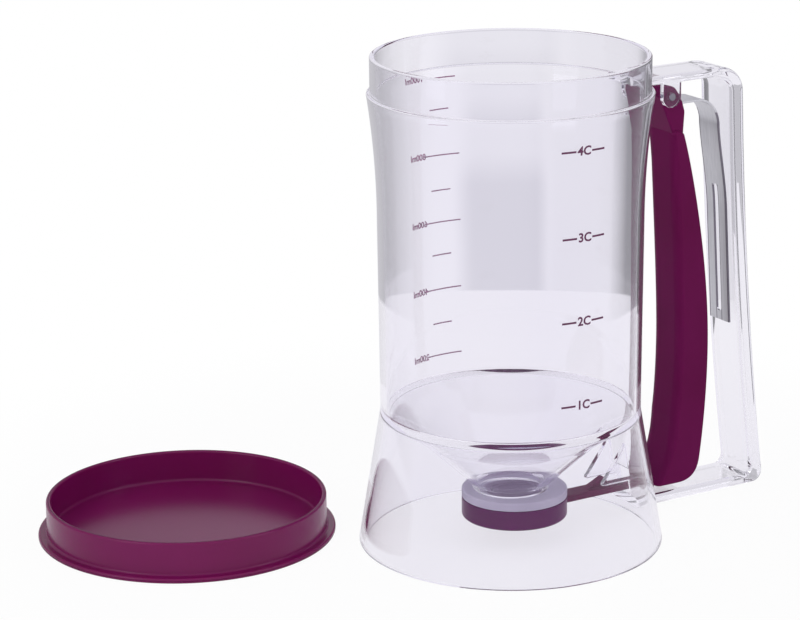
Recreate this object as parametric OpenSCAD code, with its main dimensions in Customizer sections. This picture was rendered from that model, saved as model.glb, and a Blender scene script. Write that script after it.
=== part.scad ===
// Batter dispenser: a clear hopper on its own stand skirt with a D handle, a squeeze lever hung on a pin
// in the handle, a sliding valve under the outlet, a leaf spring and a press-on lid.
// Origin: centre of the stand ring on the table. +Z up, +X towards the handle. Millimetres.

/* [Container] */
// Height of the container, from the table to the rim
container_h = 190; // [170:1:215]
// Outer radius of the stand ring on the table
stand_r = 58.7; // [57:0.1:64]
// Outer radius at the waist, where the floor joins the wall
waist_r = 49.8; // [47:0.1:52]
// Height of the waist
waist_z = 50; // [44:0.5:56]
// Outer radius of the barrel where its flare begins
barrel_r = 50.3; // [48:0.1:53]
// Height at which the barrel starts to flare out
flare_z = 128; // [110:1:150]
// How far the barrel flares out up to the shoulder
flare_out = 3.6; // [1:0.1:8]
// How far the shoulder stands out under the neck that takes the lid
shoulder_step = 1.4; // [0.6:0.1:4]
// Height of the neck above the shoulder
neck_h = 13.9; // [8:0.1:20]
// Wall thickness of the neck
neck_wall = 2; // [1.2:0.1:3]
// Wall thickness of the barrel, the floor and the skirt
wall = 2.4; // [1.6:0.1:3.5]
// Height of the floor's edge above the waist
floor_rise = 4; // [1:0.1:8]
// Length of the soft bend at the waist, up and down from it
waist_bend = 3; // [1:0.1:6]

/* [Outlet] */
// Radius of the outlet hole
outlet_r = 12; // [8:0.1:13]
// Outer radius of the nozzle round the outlet
nozzle_r = 14.8; // [14.4:0.1:18]
// Length of the nozzle under the cone
nozzle_l = 2.2; // [1.5:0.1:4]
// Height of the nozzle's sealing face above the table
nozzle_z = 20.7; // [18:0.1:24]

/* [Handle] */
// Width of the handle across the hand
handle_w = 21; // [16:0.5:28]
// Thickness of the handle's outer bar
handle_t = 6.2; // [4:0.1:8]
// Thickness of the handle's top bar
handle_top_t = 3.4; // [2.5:0.1:5]
// Thickness of the handle's bottom bar
handle_foot_t = 4; // [3:0.1:5]
// Gap between the table and the handle's bottom bar
handle_lift = 4; // [2:0.1:6]
// How much further out the handle reaches at the bottom than at the top
handle_rake = 13.4; // [0:0.1:20]
// How far the outer bar bows in from a straight line
handle_bow = 1.8; // [0:0.1:4]
// Outer radius of the handle's top corner
handle_top_round = 10.5; // [6:0.5:14]
// Outer radius of the handle's bottom corner
handle_foot_round = 5.5; // [4:0.1:10]
// Gap between the lever's back and the handle at the pin's height
palm_gap = 7.5; // [6:0.1:16]

/* [Pivot] */
// Radius of the steel pin
pin_r = 1.5; // [1:0.1:2]
// Gap between the handle's top bar and the lever's head
head_gap = 1.1; // [0.6:0.1:4]
// Thickness of each ear that holds the pin
ear_t = 2.2; // [1.6:0.1:3]
// Radius of the ear round the pin
ear_r = 4.2; // [4:0.1:6]
// How far each end of the pin stands out of its ear
pin_stub = 0.4; // [0:0.1:2]

/* [Lever] */
// Finger gap between the barrel and the lever
finger_gap = 22.9; // [18:0.1:30]
// Distance of the pin's axis inside the lever's finger face
pin_back = 6.5; // [3:0.1:8]
// Width of the grip
grip_w = 18; // [14:0.1:20]
// Depth of the grip at its belly
grip_depth = 14.6; // [10:0.1:18]
// Depth of the grip at its shoulder
grip_top_depth = 5.4; // [4:0.1:8]
// How far the finger face leans out between the shoulder and the belly
grip_lean = 4.2; // [2:0.1:6]
// Height of the belly of the grip
belly_z = 68; // [50:1:90]
// Gap between the ears and the grip's shoulder
shoulder_gap = 8.1; // [2:0.1:12]
// How far the grip's shoulder falls from front to back
shoulder_fall = 2.8; // [0:0.1:5]
// Wall thickness of the lever
lever_wall = 2.2; // [1.5:0.1:3]
// Radius of the lever's head round the pin
head_r = 3.9; // [3.4:0.1:4.9]
// Gap between the lever's foot and the handle's bottom bar
foot_gap = 1.9; // [1:0.1:4]
// Gap between the lever's foot and the outside of the skirt
skirt_gap = 6; // [3:0.1:8]
// Height over which the foot sweeps up into the finger face
foot_h = 28; // [20:0.5:32]
// Width of the arm that carries the valve
arm_w = 8; // [5:0.1:10]
// Height of the arm
arm_h = 2.6; // [2:0.1:4]
// Height of the stiffening fin on top of the arm
fin_h = 4; // [2:0.1:6]
// Thickness of the fin
fin_t = 3; // [1.5:0.1:5]
// Distance of the fin's peak from the inside of the skirt
fin_in = 10.5; // [6:0.5:16]
// Gap between the arm's underside and the table
arm_z = 10.4; // [9.8:0.1:14]

/* [Valve] */
// Outer radius of the valve cup
cup_r = 20.4; // [18:0.1:24]
// Gap between the table and the valve cup
cup_z = 9.1; // [8.6:0.1:9.6]
// Wall thickness of the valve cup round the seal
cup_wall = 1.8; // [1.2:0.1:3]
// Thickness of the silicone seal in its middle
seal_t = 5; // [4:0.1:6]
// How far the seal stands out of the cup
seal_stand = 3.4; // [1:0.1:4]
// Depth of the dish in the middle of the seal
seal_dish = 0.8; // [0.4:0.1:1.5]
// Distance of the dish inside the outlet's edge
dish_in = 1; // [0.5:0.1:3]
// Gap between the seal and the nozzle
seal_gap = 0.3; // [0.2:0.05:0.6]
// How far the arm's tongue reaches past the middle of the cup
tongue_reach = 8; // [0:0.5:14]
// How far the cup stands off the outlet's axis towards the handle
valve_x = 1.8; // [0:0.1:2.5]

/* [Slot] */
// Side clearance of the arm in the skirt's slot
slot_side = 0.5; // [0.3:0.1:1.5]
// Clearance above the fin in the slot
slot_top = 2.6; // [1:0.1:5]
// Thickness of the two guide ribs beside the slot
rib_t = 2; // [1.2:0.1:3]
// How far the guide ribs reach in from the skirt
rib_reach = 15.1; // [8:0.1:16]
// Gap between the top of the arm and the foot of the guide ribs
rib_gap = 2; // [1:0.1:4]
// Height of the guide ribs
rib_h = 15.5; // [8:0.5:18]

/* [Leaf spring] */
// Distance from the side of the lever's head to the edge of the spring
spring_inset = 1.8; // [1:0.1:3]
// Thickness of the spring strip
spring_t = 0.8; // [0.4:0.1:1.2]
// Radius of the bend over the top
spring_bend = 10; // [6:0.5:14]
// Depth of the spring's root below the pin's axis
spring_drop = 3.6; // [3:0.1:5]
// Height of the spring's free end
spring_end_z = 72; // [60:1:100]
// Gap between the spring and the handle's inner face
spring_gap = 0.3; // [0.2:0.05:1]
// How far the spring's free end stands off the handle
spring_free = 1; // [0:0.1:3]
// Width of the long slot in the spring
spring_slot_w = 3; // [2:0.1:5]
// Distance from the spring's free end to its slot
spring_slot_low = 3.5; // [2:0.1:10]
// Distance from the spring's bend down to its slot
spring_slot_top = 24; // [10:1:40]
// How far the spring's root reaches into the head of the lever
spring_root = 4; // [2:0.1:5]

/* [Lid] */
// Clearance between the lid's skirt and the neck
lid_fit = 0.25; // [0.1:0.05:0.6]
// Wall thickness of the lid's skirt
lid_wall = 1.85; // [1.2:0.05:3]
// Thickness of the lid's plate
lid_t = 2; // [1.2:0.1:3]
// Height of the lid, plate and skirt
lid_h = 14.9; // [8:0.1:15.5]
// How far the lid's plate stands out past its skirt
lid_brim = 3.4; // [1:0.1:8]
// Gap between the lid and the stand ring on the table
lid_gap = 9.7; // [4:0.1:80]
// Direction from the container to the lid on the table
lid_turn = 144.4; // [60:0.1:300]

/* [Fits] */
// Clearance round the pin in the ears
ear_fit = 0.02; // [0.01:0.01:0.05]
// Clearance round the pin in the lever
pin_fit = 0.06; // [0.02:0.01:0.1]
// Gap between pieces that move past each other
run_gap = 0.3; // [0.2:0.05:0.6]
// Gap between pieces that are seated in each other
seat_gap = 0.1; // [0.05:0.05:0.2]

/* [Hidden] */
$fn = 128;

// Shell of the container.
shoulder_z = container_h - neck_h;
shoulder_r = barrel_r + flare_out;
neck_r = shoulder_r - shoulder_step;
floor_z = waist_z + floor_rise;
barrel_ri = barrel_r - wall;
floor_r = waist_r - wall;
neck_ri = neck_r - neck_wall;
skirt_ri = stand_r - wall;
skirt_slope = (stand_r - waist_r) / waist_z;
rim_round = 0.5;
nozzle_top = nozzle_z + nozzle_l;
outlet_top = nozzle_top + 0.4;
cone_slope = (floor_z - outlet_top) / (floor_r - outlet_r);
cone_drop = wall * sqrt(1 + cone_slope * cone_slope);
cone_foot_r = outlet_r + (cone_drop - (outlet_top - nozzle_top)) / cone_slope;
// Where the underside of the cone meets the inside of the skirt.
join_z = (outlet_top - cone_drop + cone_slope * (skirt_ri - outlet_r)) / (1 + cone_slope * skirt_slope);
join_r = skirt_ri - skirt_slope * join_z;

// Lever and pivot.
lever_face_x = barrel_r + finger_gap;
lever_back_x = lever_face_x + grip_depth;
grip_top_x = lever_face_x - grip_lean;
pin_x = lever_face_x - pin_back;
pin_z = shoulder_z - handle_top_t - head_gap - head_r;
head_w = handle_w - 2 * (ear_t + run_gap);
grip_top_z = pin_z - ear_r - shoulder_gap;
foot_z = handle_lift + handle_foot_t + foot_gap;
toe_x = stand_r - skirt_slope * foot_z + skirt_gap;
arm_top_z = arm_z + arm_h;
fin_x = skirt_ri - skirt_slope * arm_top_z - fin_in;
slot_top_z = arm_top_z + fin_h + slot_top;

// Handle.
handle_top_z = shoulder_z;
handle_high_z = handle_top_z - 16;
handle_low_z = handle_lift + 4;
handle_x = lever_back_x + palm_gap + handle_t;

// Valve.
seal_top_z = nozzle_z - seal_gap;
seal_seat_z = seal_top_z - seal_dish - seal_t;
dish_r = outlet_r - valve_x - dish_in;
cup_ri = cup_r - cup_wall;
cup_top_z = seal_top_z - seal_stand;
tongue_x = valve_x - tongue_reach;
seal_r = cup_ri - seat_gap;

// Leaf spring.
spring_w = head_w - 2 * spring_inset;
spring_top_z = pin_z - spring_drop;
spring_start_x = grip_top_x + grip_top_depth - 0.9 - spring_root;
spring_out = handle_t + spring_gap;
spring_knee_z = spring_top_z - spring_bend - 2;
spring_rest_z = spring_knee_z - 34;

// Lid.
lid_bore_r = neck_r + lid_fit;
lid_skirt_r = lid_bore_r + lid_wall;
lid_plate_r = lid_skirt_r + lid_brim;
lid_far = stand_r + lid_plate_r + lid_gap;

// Outer radius of the skirt at height z.
function skirt_r(z) = stand_r - skirt_slope * z;

// Points of a curve that leaves the vertical at (r0, z0) and spreads to (r1, z1).
function flare(r0, z0, r1, z1, n = 12) =
    [for (i = [0 : n]) [r0 + (r1 - r0) * pow(i / n, 2), z0 + (z1 - z0) * i / n]];

// Points of a cubic curve from a to d with handles b and c, without its last point.
function bezier(a, b, c, d, n = 10) =
    [for (i = [0 : n - 1]) let (t = i / n, s = 1 - t)
        s * s * s * a + 3 * s * s * t * b + 3 * s * t * t * c + t * t * t * d];

// Points of the soft bend at the waist, inset by d.
function waist(d) =
    let (low = waist_z - waist_bend, high = waist_z + waist_bend,
         rise = (barrel_r - waist_r) / (flare_z - waist_z))
    concat(bezier([skirt_r(low) - d, low], [skirt_r(waist_z - waist_bend / 3) - d, waist_z - waist_bend / 3],
                  [waist_r + rise * waist_bend / 3 - d, waist_z + waist_bend / 3],
                  [waist_r + rise * waist_bend - d, high], 6),
           [[waist_r + rise * waist_bend - d, high]]);

// Points of a quarter round from a to b about the corner c.
function corner(a, c, b, n = 8) = bezier(a, a + 0.552 * (c - a), b + 0.552 * (c - b), b, n);

function reversed(p) = [for (i = [len(p) - 1 : -1 : 0]) p[i]];

// X of the handle's outer face at height z: raked and bowed in.
function handle_face(z) =
    let (u = (handle_high_z - z) / (handle_high_z - handle_low_z))
    handle_x + handle_rake * u - 4 * handle_bow * u * (1 - u);

// Outer side of the handle, inset by in, from the height low of one bar to the height high of the other.
function handle_side(in, low, high, low_round, high_round) =
    concat(
        corner([handle_face(low) - in - low_round, low], [handle_face(low) - in, low],
               [handle_face(low + low_round) - in, low + low_round]),
        [for (i = [0 : 14]) let (z = low + low_round + (high - high_round - low - low_round) * i / 15)
            [handle_face(z) - in, z]],
        corner([handle_face(high - high_round) - in, high - high_round],
               [handle_face(handle_high_z) - in, high],
               [handle_face(handle_high_z) - in - high_round, high]),
        [[handle_face(handle_high_z) - in - high_round, high]]
    );

// Extrudes an outline drawn in X and Z to a plate of width w centred on Y = 0.
module plate(w, points) {
    rotate([90, 0, 0]) linear_extrude(w, center = true) polygon(points);
}

// Turns a cylinder so that it lies along the pin.
module on_pin() {
    translate([pin_x, 0, pin_z]) rotate([90, 0, 0]) children();
}

module shell() {
    rotate_extrude() polygon(concat(
        [[skirt_ri, 0], [stand_r, 0]],
        waist(0),
        flare(barrel_r, flare_z, shoulder_r, shoulder_z),
        [[neck_r, shoulder_z], [neck_r, container_h - rim_round], [neck_r - rim_round, container_h],
         [neck_ri + rim_round, container_h], [neck_ri, container_h - rim_round]],
        reversed(flare(barrel_ri, flare_z, neck_ri, shoulder_z)),
        [[floor_r, floor_z], [outlet_r, outlet_top], [outlet_r, nozzle_z], [nozzle_r, nozzle_z],
         [nozzle_r, nozzle_top], [cone_foot_r, nozzle_top], [join_r, join_z]]
    ));
}

// Everything inside the middle of the shell's wall, to trim what is joined to it from outside.
module shell_core() {
    rotate_extrude() polygon(concat(
        [[0, -1], [stand_r - wall / 2, -1], [stand_r - wall / 2, 0]],
        waist(wall / 2),
        flare(barrel_r - wall / 2, flare_z, shoulder_r - wall / 2, shoulder_z),
        [[shoulder_r - wall / 2, container_h], [0, container_h]]
    ));
}

module handle_band() {
    inner_high = handle_top_z - handle_top_t;
    inner_low = handle_lift + handle_foot_t;
    difference() {
        plate(handle_w, concat([[waist_r / 2, handle_lift]],
            handle_side(0, handle_lift, handle_top_z, handle_foot_round, handle_top_round),
            [[waist_r / 2, handle_top_z]]));
        plate(handle_w + 2, concat([[waist_r / 2 - 1, inner_low]],
            handle_side(handle_t, inner_low, inner_high, handle_foot_round - 1.5, handle_top_round - 3.5),
            [[waist_r / 2 - 1, inner_high]]));
    }
}

module ear(side) {
    translate([0, side * (handle_w - ear_t) / 2, 0]) {
        on_pin() cylinder(r = ear_r, h = ear_t, center = true);
        translate([pin_x - ear_r, -ear_t / 2, pin_z])
            cube([2 * ear_r, ear_t, handle_top_z - handle_top_t / 2 - pin_z]);
    }
}

// Triangular rib beside the slot, inside the skirt.
module guide_rib(side) {
    base = arm_top_z + rib_gap;
    top = base + rib_h;
    foot_x = skirt_r(base);
    translate([0, side * (arm_w / 2 + slot_side + rib_t / 2), 0]) intersection() {
        plate(rib_t, [[foot_x, base], [foot_x, top + 1], [skirt_r(top) - wall, top],
                      [foot_x - wall - rib_reach, base]]);
        shell_core();
    }
}

module container() {
    color([0.88, 0.87, 0.93, 0.4]) difference() {
        union() {
            shell();
            difference() {
                handle_band();
                shell_core();
            }
            ear(-1);
            ear(1);
            guide_rib(-1);
            guide_rib(1);
        }
        translate([waist_r - 5, -arm_w / 2 - slot_side, handle_lift + handle_foot_t])
            cube([20, arm_w + 2 * slot_side, slot_top_z - handle_lift - handle_foot_t]);
        on_pin() cylinder(r = pin_r + ear_fit, h = handle_w + 2, center = true);
    }
}

// Finger face of the grip from the foot up to the shoulder, inset by d.
function grip_face(d) =
    concat(
        bezier([lever_face_x - 1.6 + d, foot_z + foot_h], [lever_face_x - 0.5 + d, foot_z + foot_h + 8],
               [lever_face_x + 0.2 + d, belly_z - 8], [lever_face_x + d, belly_z + 5]),
        bezier([lever_face_x + d, belly_z + 5], [lever_face_x - 0.5 + d, belly_z + 30],
               [grip_top_x + 1.2 + d, grip_top_z - 26], [grip_top_x + d, grip_top_z]),
        [[grip_top_x + d, grip_top_z]]
    );

// Back of the grip from the shoulder down to the foot.
function grip_back() =
    let (top_x = grip_top_x + grip_top_depth, heel_x = lever_back_x - 3.4)
    concat(
        bezier([top_x, grip_top_z - shoulder_fall], [top_x + 4.2, grip_top_z - shoulder_fall - 13],
               [lever_back_x - 0.2, belly_z + 32], [lever_back_x, belly_z - 2]),
        bezier([lever_back_x, belly_z - 2], [lever_back_x + 0.1, belly_z - 20],
               [heel_x + 1.8, foot_z + 20], [heel_x, foot_z + 8.5]),
        bezier([heel_x, foot_z + 8.5], [heel_x - 1, foot_z + 3.4],
               [heel_x - 4, foot_z], [heel_x - 10.5, foot_z]),
        [[heel_x - 10.5, foot_z]]
    );

// The foot's side towards the skirt: it sweeps up into the finger face, inset by d.
function grip_toe(d) =
    bezier([toe_x + 2.3 * d, foot_z + d], [(toe_x + lever_face_x) / 2 + 1.2 * d, foot_z + 4.6 + 1.4 * d],
           [lever_face_x - 2.2 + d, foot_z + foot_h - 13], [lever_face_x - 1.6 + d, foot_z + foot_h]);

module grip() {
    roof_z = grip_top_z - shoulder_fall - 4;
    difference() {
        plate(grip_w, concat(grip_toe(0), grip_face(0), grip_back()));
        // The hollow back, open towards the handle.
        plate(grip_w - 2 * lever_wall, concat(
            [[lever_back_x + 5, foot_z + lever_wall]],
            grip_toe(lever_wall),
            [for (p = grip_face(lever_wall)) if (p[1] < roof_z) p],
            [[grip_top_x + lever_wall, roof_z], [lever_back_x + 5, roof_z]]
        ));
    }
}

// Head round the pin, narrower than the grip so that it turns between the ears.
module head() {
    back_x = grip_top_x + grip_top_depth;
    on_pin() cylinder(r = head_r, h = head_w, center = true);
    plate(head_w, [
        [pin_x - head_r, pin_z],
        [grip_top_x, grip_top_z - 2],
        [back_x, grip_top_z - shoulder_fall - 2],
        [back_x + 0.4, pin_z - 7],
        [back_x - 0.9, pin_z - 2.8],
        [pin_x + head_r * cos(40), pin_z + head_r * sin(40)]
    ]);
}

// Flat arm from the foot's wall through the slot to the tongue under the cup, stiffened by a low fin.
module arm() {
    root_x = toe_x + 1.6 * lever_wall + 0.7 * (arm_z - foot_z);
    plate(arm_w, [[tongue_x, arm_z], [root_x, arm_z], [root_x, arm_top_z], [tongue_x, arm_top_z]]);
    plate(fin_t, [[fin_x - 2.25 * fin_h, arm_top_z - arm_h / 2], [fin_x - 2.25 * fin_h, arm_top_z],
                  [fin_x, arm_top_z + fin_h], [fin_x + fin_h / 2, arm_top_z],
                  [fin_x + fin_h / 2, arm_top_z - arm_h / 2]]);
}

module trigger_lever() {
    color([0.36, 0.11, 0.27]) difference() {
        union() {
            grip();
            head();
            arm();
        }
        on_pin() cylinder(r = pin_r + pin_fit, h = head_w + 2, center = true);
        // Pocket for the root of the spring.
        translate([spring_start_x - seat_gap, -spring_w / 2 - seat_gap, spring_top_z - spring_t - seat_gap])
            cube([20, spring_w + 2 * seat_gap, spring_t + 2 * seat_gap]);
    }
}

module valve_cup() {
    color([0.40, 0.12, 0.36]) difference() {
        translate([valve_x, 0, cup_z]) cylinder(r = cup_r, h = cup_top_z - cup_z);
        translate([valve_x, 0, seal_seat_z]) cylinder(r = cup_ri, h = cup_top_z);
        // Channel for the arm's tongue.
        translate([tongue_x - seat_gap, -arm_w / 2 - seat_gap, arm_z - seat_gap])
            cube([cup_r + tongue_reach + 5, arm_w + 2 * seat_gap, arm_h + 2 * seat_gap]);
    }
}

// Silicone disc seated in the cup. Its rim lies on the cup's wall and its top closes the nozzle.
module valve_seal() {
    rim_z = cup_top_z + seat_gap;
    color([0.78, 0.77, 0.82]) translate([valve_x, 0, 0]) rotate_extrude() polygon([
        [0, seal_seat_z], [seal_r, seal_seat_z], [seal_r, rim_z], [cup_r, rim_z],
        [cup_r, seal_top_z - 0.4], [cup_r - 0.4, seal_top_z],
        [dish_r, seal_top_z], [dish_r - 0.6, seal_top_z - seal_dish], [0, seal_top_z - seal_dish]
    ]);
}

module pivot_pin() {
    color("silver") on_pin() cylinder(r = pin_r, h = handle_w + 2 * pin_stub, center = true);
}

// One side of the spring strip, inset by d: level at the root, bent over, then down to lean on the handle.
function spring_side(d) =
    let (knee_x = handle_face(spring_knee_z) - spring_out - 2.6 - d,
         rest_x = handle_face(spring_rest_z) - spring_out - d)
    concat(
        [[spring_start_x, spring_top_z - d]],
        corner([knee_x - spring_bend + d, spring_top_z - d], [knee_x, spring_top_z - d],
               [knee_x, spring_knee_z], 12),
        bezier([knee_x, spring_knee_z], [knee_x + 0.9, spring_knee_z - 10],
               [rest_x - 0.7, spring_rest_z + 12], [rest_x, spring_rest_z]),
        [[rest_x, spring_rest_z], [handle_face(spring_end_z) - spring_out - spring_free - d, spring_end_z]]
    );

module leaf_spring() {
    slot_low = spring_end_z + spring_slot_low + spring_slot_w / 2;
    slot_high = spring_knee_z - spring_slot_top - spring_slot_w / 2;
    color("gainsboro") difference() {
        plate(spring_w, concat(spring_side(0), reversed(spring_side(spring_t))));
        translate([pin_x, -spring_slot_w / 2, slot_low]) cube([60, spring_slot_w, slot_high - slot_low]);
        for (z = [slot_low, slot_high])
            translate([pin_x, 0, z]) rotate([0, 90, 0]) cylinder(d = spring_slot_w, h = 60);
    }
}

// Lid, upside down on the table: plate, brim and the skirt that presses over the neck.
module lid() {
    edge = lid_t * 0.3;
    color([0.43, 0.08, 0.32]) rotate([0, 0, lid_turn]) translate([lid_far, 0, 0]) rotate_extrude() polygon([
        [0, 0], [lid_plate_r - edge, 0], [lid_plate_r, edge],
        [lid_plate_r, lid_t - edge], [lid_plate_r - edge, lid_t], [lid_skirt_r, lid_t],
        [lid_skirt_r, lid_h - edge], [lid_skirt_r - edge, lid_h],
        [lid_bore_r + edge, lid_h], [lid_bore_r, lid_h - edge], [lid_bore_r, lid_t], [0, lid_t]
    ]);
}

container();
trigger_lever();
valve_cup();
valve_seal();
pivot_pin();
leaf_spring();
lid();
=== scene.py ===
# %% [markdown]
# # A batter dispenser, piece by piece
# A clear hopper stands on its own flared skirt. A plum lever hangs on a pin in the handle and slides a
# valve away from under the outlet. The plain solids of every piece come from the frame, already in place.
# This lesson gives each piece its soft edges and its finish, and sets it in a pale studio.

# %% Load the frame
import math

import bmesh
import bpy
import numpy as np
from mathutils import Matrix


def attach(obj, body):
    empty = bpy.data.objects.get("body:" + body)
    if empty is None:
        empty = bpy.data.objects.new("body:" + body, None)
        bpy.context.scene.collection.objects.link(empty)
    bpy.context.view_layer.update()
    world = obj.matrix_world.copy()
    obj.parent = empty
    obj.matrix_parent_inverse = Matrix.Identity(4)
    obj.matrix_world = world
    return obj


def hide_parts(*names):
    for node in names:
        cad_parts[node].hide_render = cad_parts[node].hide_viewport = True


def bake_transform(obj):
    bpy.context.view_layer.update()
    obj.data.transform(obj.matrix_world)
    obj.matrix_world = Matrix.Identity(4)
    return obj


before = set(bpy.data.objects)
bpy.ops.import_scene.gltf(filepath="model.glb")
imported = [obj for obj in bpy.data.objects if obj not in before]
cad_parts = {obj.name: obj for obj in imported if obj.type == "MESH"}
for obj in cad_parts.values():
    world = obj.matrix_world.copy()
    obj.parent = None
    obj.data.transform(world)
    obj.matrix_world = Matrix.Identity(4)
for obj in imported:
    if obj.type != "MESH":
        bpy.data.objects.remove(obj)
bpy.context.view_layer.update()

MM = 0.001
print("nodes:", sorted(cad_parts))

# %% [markdown]
# ## Camera
# The dispenser is seen from its left front, a little from above, through a long lens, so that upright
# lines stay nearly upright. The camera comes first because it decides how fine each surface must be.

# %% Camera
camera_data = bpy.data.cameras.new("camera")
camera_data.sensor_width = 36
FOCAL_PIXELS, IMAGE_PIXELS = 2975.4, 800
camera_data.lens = FOCAL_PIXELS * camera_data.sensor_width / IMAGE_PIXELS
camera = bpy.data.objects.new("camera", camera_data)
camera.location = (-0.59325, -0.90966, 0.40426)
camera.rotation_euler = (math.radians(73.935), math.radians(0.5846), math.radians(-31.0673))
bpy.context.scene.collection.objects.link(camera)
bpy.context.scene.camera = camera
print("lens", round(camera_data.lens, 1), "mm")

# %% [markdown]
# ## Outlines
# Nearly every piece here is a profile: turned round an axis, or drawn in side view and given a width.
# So the first helpers draw outlines. Moulded plastic has no sharp corners, and a corner's arc is what
# catches the light, so each corner carries its own radius.

# %% Outline helpers
GUARD = 0.35
SHARED_SIDE, FREE_SIDE = 0.46, 0.98


def rounded(corners, steps=6):
    """Closed outline from rows (x, y, radius). At a corner with a radius, an arc runs from one side's
    tangent point to the other's: centre plus the two end directions mixed by the sines of the shares of
    the turn. An arc takes at most the shared part of a side that has an arc at its other end too. A guard
    point a little before and after the arc keeps the straight sides flat in shading."""
    rows = np.array(corners, float)
    p, radius = rows[:, :2], rows[:, 2]
    back, ahead = np.roll(p, 1, 0) - p, np.roll(p, -1, 0) - p
    long_back, long_ahead = np.linalg.norm(back, axis=1), np.linalg.norm(ahead, axis=1)
    u, v = back / long_back[:, None], ahead / long_ahead[:, None]
    half = np.arccos(np.clip((u * v).sum(1), -1, 1)) / 2
    room_back = long_back * np.where(np.roll(radius, 1) > 0, SHARED_SIDE, FREE_SIDE)
    room_ahead = long_ahead * np.where(np.roll(radius, -1) > 0, SHARED_SIDE, FREE_SIDE)
    reach = np.minimum(radius / np.tan(half), np.minimum(room_back, room_ahead))
    radius = reach * np.tan(half)
    share = np.linspace(0, 1, steps + 1)[:, None]
    out = []
    for i in range(len(p)):
        if rows[i, 2] <= 0:
            out.append(p[i:i + 1])
            continue
        middle = (u[i] + v[i]) / np.linalg.norm(u[i] + v[i])
        centre = p[i] + middle * radius[i] / math.sin(half[i])
        first, last = p[i] + u[i] * reach[i] - centre, p[i] + v[i] * reach[i] - centre
        sweep = math.pi - 2 * half[i]
        arc = (np.sin((1 - share) * sweep) * first + np.sin(share * sweep) * last) / math.sin(sweep)
        far_u = min(GUARD, 0.4 * (long_back[i] - reach[i]))
        far_v = min(GUARD, 0.4 * (long_ahead[i] - reach[i]))
        out += [p[i] + u[i] * (reach[i] + far_u) + np.zeros((1, 2)), centre + arc,
                p[i] + v[i] * (reach[i] + far_v) + np.zeros((1, 2))]
    return np.concatenate(out)


def bezier(a, b, c, d, n=12):
    """Cubic curve: the four points weighted by the cubic Bernstein terms of t, without its last point."""
    t = np.linspace(0, 1, n, endpoint=False)[:, None]
    a, b, c, d = (np.array(q, float) for q in (a, b, c, d))
    return (1 - t) ** 3 * a + 3 * (1 - t) ** 2 * t * b + 3 * (1 - t) * t ** 2 * c + t ** 3 * d


def plain(points):
    """Rows (x, y) with a corner radius of nothing, for a stretch that is already smooth."""
    points = np.array(points, float)
    return np.c_[points, np.zeros(len(points))]


def even(outline, spacing):
    """Closed outline resampled at equal steps of its own length."""
    ring = np.r_[outline, outline[:1]]
    run = np.r_[0, np.cumsum(np.linalg.norm(np.diff(ring, axis=0), axis=1))]
    at = np.linspace(0, run[-1], int(run[-1] / spacing), endpoint=False)
    return np.c_[np.interp(at, run, ring[:, 0]), np.interp(at, run, ring[:, 1])]


print("a square with round corners has", len(rounded([(0, 0, 1), (9, 0, 1), (9, 9, 1), (0, 9, 1)])), "points")

# %% [markdown]
# ## Surfaces
# Two surfaces do most of the work. A turned surface carries an outline round the upright axis. A plate
# carries an outline across its width and draws it in near both faces, which rounds the plate's edges.
# Both are grids of points, so numpy computes them whole and Blender only receives the result.

# %% Surface helpers
def grid_quads(rows, cols, close_rows):
    """Four-sided faces of a grid that is closed along its columns, and along its rows if asked. Point
    (i, j) of the grid has the number i times the columns plus j, and a face joins it to its neighbours."""
    i = np.arange(rows if close_rows else rows - 1)[:, None]
    j = np.arange(cols)[None, :]
    a, b = i * cols + j, i * cols + (j + 1) % cols
    c, d = (i + 1) % rows * cols + (j + 1) % cols, (i + 1) % rows * cols + j
    return np.stack([a, b, c, d], -1).reshape(-1, 4).tolist()


def solid(name, points, faces):
    """Puts points in millimetres and faces into a mesh object with its faces turned outwards."""
    mesh = bpy.data.meshes.new(name)
    mesh.from_pydata((np.asarray(points) * MM).tolist(), [], faces)
    work = bmesh.new()
    work.from_mesh(mesh)
    bmesh.ops.recalc_face_normals(work, faces=work.faces)
    work.to_mesh(mesh)
    work.free()
    thing = bpy.data.objects.new(name, mesh)
    bpy.context.scene.collection.objects.link(thing)
    return thing


def turned(name, outline, sides):
    """Ring solid: the point (r, z) of a closed outline goes to (r cos a, r sin a, z) for every angle a."""
    a = np.linspace(0, 2 * np.pi, sides, endpoint=False)
    r, z = outline.T
    xyz = np.stack([np.outer(np.cos(a), r), np.outer(np.sin(a), r), np.tile(z, (sides, 1))], -1)
    return solid(name, xyz.reshape(-1, 3), grid_quads(sides, len(r), True))


def lathe(name, profile, sides, at, along="z"):
    """Full solid: a profile of (r, z) whose first and last points lie on the axis. Those two are single
    points with a fan of triangles, and every point between them makes a ring. at is where the axis
    stands: (x, y) for an upright axis, (x, z) for one laid along y."""
    a = np.linspace(0, 2 * np.pi, sides, endpoint=False)
    r, z = profile[1:-1].T
    xyz = np.stack([np.outer(r, np.cos(a)), np.outer(r, np.sin(a)), np.tile(z[:, None], (1, sides))], -1)
    points = np.r_[[[0, 0, profile[0, 1]]], xyz.reshape(-1, 3), [[0, 0, profile[-1, 1]]]]
    if along == "y":
        points = points[:, [0, 2, 1]]
    points = points + [at[0], 0 if along == "y" else at[1], at[1] if along == "y" else 0]
    faces = (1 + np.array(grid_quads(len(r), sides, False))).tolist()
    k, last = np.arange(sides), len(points) - 1
    top = last - sides
    faces += np.c_[np.zeros(sides, int), 1 + (k + 1) % sides, 1 + k].tolist()
    faces += np.c_[np.full(sides, last), top + k, top + (k + 1) % sides].tolist()
    return solid(name, points, faces)


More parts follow.
